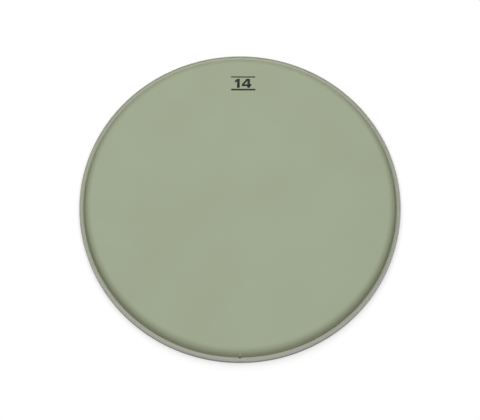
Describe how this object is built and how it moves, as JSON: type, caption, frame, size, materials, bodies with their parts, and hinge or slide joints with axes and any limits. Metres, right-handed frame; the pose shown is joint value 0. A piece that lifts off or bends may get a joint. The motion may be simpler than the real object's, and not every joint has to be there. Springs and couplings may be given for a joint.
{
  "type": "drum head",
  "caption": "Drum head: flat formed film with a rounded shoulder and steep collar, its edge cast with resin into a rolled aluminium channel hoop that drops over a drum shell.",
  "frame": {"origin": "on the drum's axis, at the level of the hoop's base", "axes": "+Z along the drum's axis towards the playing side, -Y towards the hoop's welded seam"},
  "size_m": [0.3714, 0.3714, 0.0195],
  "materials": {
    "film": "frosted grey-green polyester film, matte",
    "hoop_metal": "dull mill-finish extrusion, satin",
    "resin": "cured casting resin, dull grey",
    "weld_metal": "filed weld, duller than the hoop"
  },
  "bodies": {
    "root": {"head_film": "film", "hoop_channel": "hoop_metal", "channel_resin": "resin", "seam_weld": "weld_metal"}
  },
  "joints": []
}
